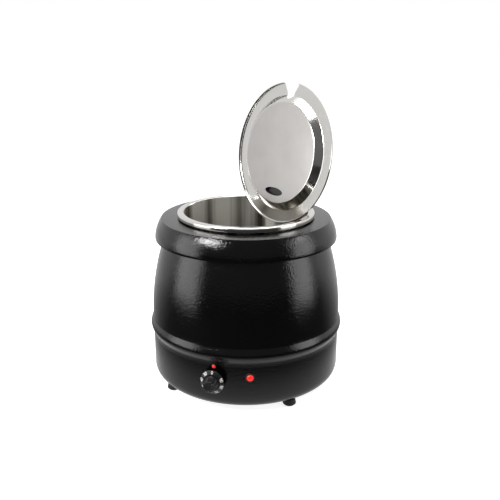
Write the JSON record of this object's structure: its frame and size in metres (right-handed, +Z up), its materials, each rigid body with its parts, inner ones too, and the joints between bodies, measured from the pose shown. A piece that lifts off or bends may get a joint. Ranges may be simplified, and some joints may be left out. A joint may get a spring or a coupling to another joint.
{
  "type": "soup kettle",
  "caption": "Black enamelled electric soup kettle with a wet well, a lift-out steel pot, a lift-off lid with a ladle notch, a thermostat knob and red lamps.",
  "frame": {"origin": "on the kettle's axis, on the table that its feet stand on", "axes": "+Z up along the kettle's axis, -Y towards the front with the controls, +X to the right seen from the front"},
  "size_m": [0.34, 0.3614, 0.5142],
  "materials": {
    "black_enamel": "fine textured black enamel",
    "satin_steel": "satin",
    "polished_steel": "polished stainless steel",
    "zinc_steel": "zinc plated",
    "black_rubber": "moulded rubber",
    "cast_aluminium": "cast",
    "white_nylon": "moulded",
    "mineral_wool": "fibrous",
    "black_phenolic": "moulded phenolic",
    "red_lens": "clear moulded red lens",
    "black_nylon": "moulded nylon"
  },
  "bodies": {
    "kettle": {"outer_shell": "black_enamel", "collar": "black_enamel", "wet_well": "satin_steel", "base_plate": "zinc_steel", "base_screws": "zinc_steel", "foot_front_right": "black_rubber", "foot_back_right": "black_rubber", "foot_back_left": "black_rubber", "foot_front_left": "black_rubber", "heater_plate": "cast_aluminium", "heating_element": "satin_steel", "heat_shield": "zinc_steel", "thermal_cutout": "white_nylon", "insulation_sleeve": "mineral_wool", "thermostat": "zinc_steel", "bush_nut": "zinc_steel", "power_lamp_lens": "red_lens", "power_lamp_body": "black_phenolic", "heat_lamp_lens": "red_lens", "heat_lamp_body": "black_phenolic", "cable_gland": "black_nylon", "terminal_block": "white_nylon"},
    "knob": {"thermostat_shaft": "zinc_steel", "control_knob": "black_phenolic"},
    "pot": {"inner_pot": "polished_steel"},
    "lid": {"lid": "polished_steel", "lid_handle": "polished_steel"}
  },
  "joints": [
    {"name": "knob_turn", "type": "hinge", "parent": "kettle", "child": "knob", "pos_m": [-0.05253, -0.16168, 0.063], "axis": [0.309, 0.9511, 0], "range_deg": [0, 294]},
    {"name": "pot_lift", "type": "slide", "parent": "kettle", "child": "pot", "axis": [0, 0, 1], "range_m": [0, 0.25]},
    {"name": "lid_lift", "type": "slide", "parent": "pot", "child": "lid", "axis": [0, 0, 1], "range_m": [0, 0.12]}
  ]
}
